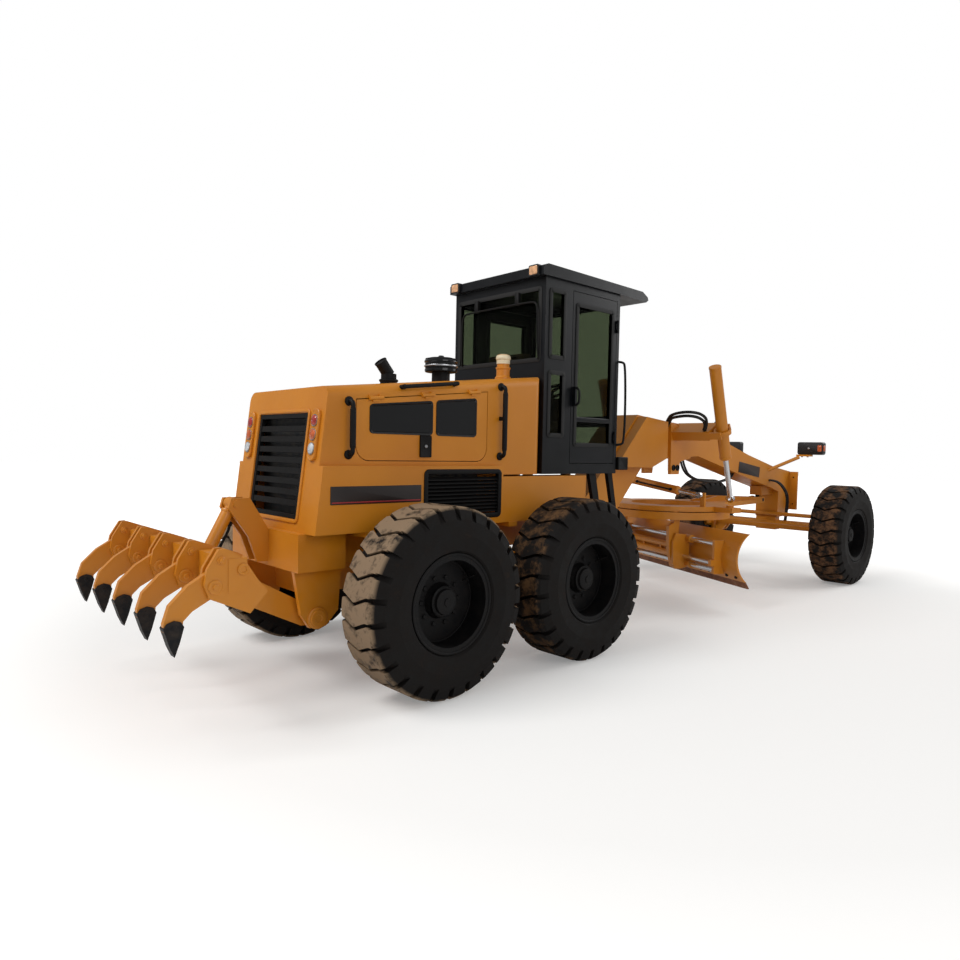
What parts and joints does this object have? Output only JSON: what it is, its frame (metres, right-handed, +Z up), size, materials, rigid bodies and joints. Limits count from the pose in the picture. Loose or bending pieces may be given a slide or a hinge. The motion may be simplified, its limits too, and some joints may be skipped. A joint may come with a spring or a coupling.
{
  "type": "articulated motor grader with rear ripper",
  "caption": "Articulated motor grader: leaning steered front wheels, turning circle with a side-shifting blade, tandem rear wheels, cab and a rear ripper.",
  "frame": {"origin": "on the ground, on the centre line, midway between the four rear wheels", "axes": "+X forward, +Y to the machine's left, +Z up"},
  "size_m": [9.7859, 2.9382, 3.425],
  "materials": {
    "yellow_enamel": "semi-gloss yellow-orange machine enamel",
    "cab_black": "semi-gloss blue-black enamel",
    "grille_black": "satin black",
    "rim_black": "satin black, dusty",
    "engine_grey": "painted casting",
    "tyre_rubber": "dusty tread rubber",
    "cab_glass": "clear cab glass",
    "cab_trim": "grained cab trim",
    "lamp_lens": "moulded lamp lens",
    "edge_steel": "rolled steel with light rust",
    "tip_steel": "black cast points",
    "chrome_rod": "ground and chromed rod",
    "forged_black": "black forging"
  },
  "bodies": {
    "chassis": {"rear_frame": "yellow_enamel", "tandem_axle": "yellow_enamel", "engine": "engine_grey", "hood": "yellow_enamel", "rear_grille": "grille_black", "side_tanks": "yellow_enamel", "cab_frame": "cab_black", "cab_glass": "cab_glass", "cab_interior": "cab_trim", "lamps": "lamp_lens", "hood_fittings": "grille_black", "cab_steps": "grille_black", "side_louvres": "grille_black"},
    "cab_door_right": {"cab_door_right": "cab_black", "cab_door_glass_right": "cab_glass"},
    "cab_door_left": {"cab_door_left": "cab_black", "cab_door_glass_left": "cab_glass"},
    "hood_door_right": {"hood_door_right": "yellow_enamel"},
    "hood_door_left": {"hood_door_left": "yellow_enamel"},
    "front": {"front_frame": "yellow_enamel", "front_axle": "yellow_enamel", "headlamps": "grille_black"},
    "lean_bar": {"lean_bar": "yellow_enamel"},
    "tie_rod_end": {"tie_rod_end": "forged_black"},
    "tie_rod": {"tie_rod": "yellow_enamel"},
    "drawbar_ball": {"drawbar_ball": "forged_black"},
    "drawbar": {"drawbar": "yellow_enamel"},
    "circle": {"circle": "yellow_enamel"},
    "blade_carrier": {"blade_carrier": "yellow_enamel"},
    "blade": {"moldboard": "yellow_enamel", "cutting_edge": "edge_steel"},
    "centre_shift_barrel": {"centre_shift_barrel": "yellow_enamel"},
    "centre_shift_rod": {"centre_shift_rod": "chrome_rod"},
    "ripper": {"ripper_frame": "yellow_enamel", "ripper_shanks": "yellow_enamel", "ripper_tips": "tip_steel"},
    "ripper_barrel": {"ripper_barrel": "yellow_enamel"},
    "ripper_rod": {"ripper_rod": "chrome_rod"},
    "lean_yoke_right": {"lean_yoke_right": "yellow_enamel"},
    "knuckle_right": {"knuckle_right": "yellow_enamel"},
    "lift_ring_right": {"lift_ring_right": "yellow_enamel"},
    "lift_barrel_right": {"lift_barrel_right": "yellow_enamel"},
    "lift_rod_right": {"lift_rod_right": "chrome_rod"},
    "wheel_rear_right": {"tyre_rear_right": "tyre_rubber", "rim_rear_right": "rim_black"},
    "wheel_middle_right": {"tyre_middle_right": "tyre_rubber", "rim_middle_right": "rim_black"},
    "wheel_front_right": {"tyre_front_right": "tyre_rubber", "rim_front_right": "rim_black"},
    "lean_yoke_left": {"lean_yoke_left": "yellow_enamel"},
    "knuckle_left": {"knuckle_left": "yellow_enamel"},
    "lift_ring_left": {"lift_ring_left": "yellow_enamel"},
    "lift_barrel_left": {"lift_barrel_left": "yellow_enamel"},
    "lift_rod_left": {"lift_rod_left": "chrome_rod"},
    "wheel_rear_left": {"tyre_rear_left": "tyre_rubber", "rim_rear_left": "rim_black"},
    "wheel_middle_left": {"tyre_middle_left": "tyre_rubber", "rim_middle_left": "rim_black"},
    "wheel_front_left": {"tyre_front_left": "tyre_rubber", "rim_front_left": "rim_black"}
  },
  "joints": [
    {"name": "wheel_rear_right_spin", "type": "hinge", "parent": "chassis", "child": "wheel_rear_right", "pos_m": [-0.769, -1.078, 0.68], "axis": [0, 1, 0], "continuous": true},
    {"name": "wheel_rear_left_spin", "type": "hinge", "parent": "chassis", "child": "wheel_rear_left", "pos_m": [-0.769, 1.078, 0.68], "axis": [0, 1, 0], "continuous": true},
    {"name": "wheel_middle_right_spin", "type": "hinge", "parent": "chassis", "child": "wheel_middle_right", "pos_m": [0.769, -1.078, 0.68], "axis": [0, 1, 0], "continuous": true},
    {"name": "wheel_middle_left_spin", "type": "hinge", "parent": "chassis", "child": "wheel_middle_left", "pos_m": [0.769, 1.078, 0.68], "axis": [0, 1, 0], "continuous": true},
    {"name": "wheel_front_right_spin", "type": "hinge", "parent": "knuckle_right", "child": "wheel_front_right", "pos_m": [6.5, -1.078, 0.68], "axis": [0, 1, 0], "continuous": true},
    {"name": "wheel_front_left_spin", "type": "hinge", "parent": "knuckle_left", "child": "wheel_front_left", "pos_m": [6.5, 1.078, 0.68], "axis": [0, 1, 0], "continuous": true},
    {"name": "articulation", "type": "hinge", "parent": "chassis", "child": "front", "pos_m": [1.75, 0, 1.05], "axis": [0, 0, 1], "range_deg": [-25, 25]},
    {"name": "cab_door_right_hinge", "type": "hinge", "parent": "chassis", "child": "cab_door_right", "pos_m": [1.843, -0.636, 2.4], "axis": [0, 0, 1], "range_deg": [0, 80]},
    {"name": "cab_door_left_hinge", "type": "hinge", "parent": "chassis", "child": "cab_door_left", "pos_m": [1.843, 0.636, 2.4], "axis": [0, 0, -1], "range_deg": [0, 80]},
    {"name": "hood_door_right_hinge", "type": "hinge", "parent": "chassis", "child": "hood_door_right", "pos_m": [-0.52, -0.631, 2.16856], "axis": [-0.994, 0, -0.1096], "range_deg": [0, 75]},
    {"name": "hood_door_left_hinge", "type": "hinge", "parent": "chassis", "child": "hood_door_left", "pos_m": [-0.52, 0.631, 2.16856], "axis": [0.994, 0, 0.1096], "range_deg": [0, 75]},
    {"name": "lean_right", "type": "hinge", "parent": "front", "child": "lean_yoke_right", "pos_m": [6.5, -0.76, 0.62], "axis": [1, 0, 0], "range_deg": [-17, 17]},
    {"name": "steer_right", "type": "hinge", "parent": "lean_yoke_right", "child": "knuckle_right", "pos_m": [6.5, -0.87, 0.68], "axis": [0, 0, 1], "range_deg": [-45, 45]},
    {"name": "lean_left", "type": "hinge", "parent": "front", "child": "lean_yoke_left", "pos_m": [6.5, 0.76, 0.62], "axis": [1, 0, 0], "range_deg": [-17, 17]},
    {"name": "steer_left", "type": "hinge", "parent": "lean_yoke_left", "child": "knuckle_left", "pos_m": [6.5, 0.87, 0.68], "axis": [0, 0, 1], "range_deg": [-45, 45]},
    {"name": "lean_bar_pin", "type": "hinge", "parent": "lean_yoke_right", "child": "lean_bar", "pos_m": [6.405, -0.76, 0.9], "axis": [1, 0, 0], "range_deg": [-17, 17]},
    {"name": "tie_rod_stud", "type": "hinge", "parent": "knuckle_right", "child": "tie_rod_end", "pos_m": [6.3, -0.87, 0.778], "axis": [0, 0, 1], "range_deg": [-45, 45]},
    {"name": "tie_rod_pin", "type": "hinge", "parent": "tie_rod_end", "child": "tie_rod", "pos_m": [6.3, -0.87, 0.778], "axis": [1, 0, 0], "range_deg": [-17, 17]},
    {"name": "drawbar_swing", "type": "hinge", "parent": "front", "child": "drawbar_ball", "pos_m": [6.15, 0, 1.11], "axis": [0, 0, 1], "range_deg": [-3, 12]},
    {"name": "drawbar_pitch", "type": "hinge", "parent": "drawbar_ball", "child": "drawbar", "pos_m": [6.15, 0, 1.11], "axis": [0.0985, 0.9951, 0], "range_deg": [-14, 5.5]},
    {"name": "circle_turn", "type": "hinge", "parent": "drawbar", "child": "circle", "pos_m": [4.13, 0.2, 0.96], "axis": [0, 0, 1], "continuous": true},
    {"name": "blade_tilt", "type": "hinge", "parent": "circle", "child": "blade_carrier", "pos_m": [3.85594, 0.32202, 0.43], "axis": [0.4067, 0.9135, 0], "range_deg": [-5, 25]},
    {"name": "side_shift", "type": "slide", "parent": "blade_carrier", "child": "blade", "axis": [-0.4067, -0.9135, 0], "range_m": [-0.42, 0.42]},
    {"name": "lift_ring_right_pins", "type": "hinge", "parent": "front", "child": "lift_ring_right", "pos_m": [3.64, -0.8, 2.02], "axis": [-0.8825, 0, -0.4704], "range_deg": [-6.07, 23.4]},
    {"name": "lift_barrel_right_pins", "type": "hinge", "parent": "lift_ring_right", "child": "lift_barrel_right", "pos_m": [3.64, -0.8, 2.02], "axis": [-0.0535, 0.9935, 0.1003], "range_deg": [-3.3, 8.23]},
    {"name": "lift_rod_right_stroke", "type": "slide", "parent": "lift_barrel_right", "child": "lift_rod_right", "axis": [0.4673, 0.1137, -0.8767], "range_m": [-0.18599, 0.4657]},
    {"name": "lift_ring_left_pins", "type": "hinge", "parent": "front", "child": "lift_ring_left", "pos_m": [3.64, 0.8, 2.02], "axis": [-0.7971, 0, -0.6038], "range_deg": [-6.06, 23.36]},
    {"name": "lift_barrel_left_pins", "type": "hinge", "parent": "lift_ring_left", "child": "lift_barrel_left", "pos_m": [3.64, 0.8, 2.02], "axis": [-0.1715, 0.9588, 0.2265], "range_deg": [-5.26, 13.11]},
    {"name": "lift_rod_left_stroke", "type": "slide", "parent": "lift_barrel_left", "child": "lift_rod_left", "axis": [0.579, 0.2841, -0.7643], "range_m": [-0.15819, 0.39493]},
    {"name": "centre_shift_pin", "type": "hinge", "parent": "front", "child": "centre_shift_barrel", "pos_m": [3.8, 0.62, 1.42], "axis": [1, 0, 0], "range_deg": [-10.7, 26.67]},
    {"name": "centre_shift_stroke", "type": "slide", "parent": "centre_shift_barrel", "child": "centre_shift_rod", "axis": [0, -0.9886, -0.1506], "range_m": [-0.12554, 0.48716]},
    {"name": "ripper_lift", "type": "hinge", "parent": "chassis", "child": "ripper", "pos_m": [-1.38, 0, 0.52], "axis": [0, 1, 0], "range_deg": [-34, 0]},
    {"name": "ripper_cylinder_pin", "type": "hinge", "parent": "chassis", "child": "ripper_barrel", "pos_m": [-1.81, 0, 1.33], "axis": [0, 1, 0], "range_deg": [-10.03, 0.1]},
    {"name": "ripper_rod_stroke", "type": "slide", "parent": "ripper_barrel", "child": "ripper_rod", "axis": [-0.4603, 0, -0.8878], "range_m": [-0.002, 0.4245]}
  ],
  "couplings": [
    {"joint": "lean_left", "follows": "lean_right", "ratio": 1},
    {"joint": "steer_left", "follows": "steer_right", "ratio": 1},
    {"joint": "lean_bar_pin", "follows": "lean_right", "ratio": -1},
    {"joint": "tie_rod_stud", "follows": "steer_right", "ratio": -1},
    {"joint": "tie_rod_pin", "follows": "lean_right", "ratio": -0.87478},
    {"joint": "lift_ring_right_pins", "follows": "drawbar_swing", "ratio": 1.9256},
    {"joint": "lift_barrel_right_pins", "follows": "drawbar_pitch", "ratio": -0.57975},
    {"joint": "lift_rod_right_stroke", "follows": "drawbar_pitch", "m_per_rad": -1.8854},
    {"joint": "lift_ring_left_pins", "follows": "drawbar_swing", "ratio": 1.923},
    {"joint": "lift_barrel_left_pins", "follows": "drawbar_pitch", "ratio": -0.92375},
    {"joint": "lift_rod_left_stroke", "follows": "drawbar_pitch", "m_per_rad": -1.5958},
    {"joint": "centre_shift_pin", "follows": "drawbar_pitch", "ratio": -1.879},
    {"joint": "centre_shift_stroke", "follows": "drawbar_swing", "m_per_rad": 2.3022},
    {"joint": "ripper_cylinder_pin", "follows": "ripper_lift", "ratio": 0.29202},
    {"joint": "ripper_rod_stroke", "follows": "ripper_lift", "m_per_rad": -0.71199}
  ]
}
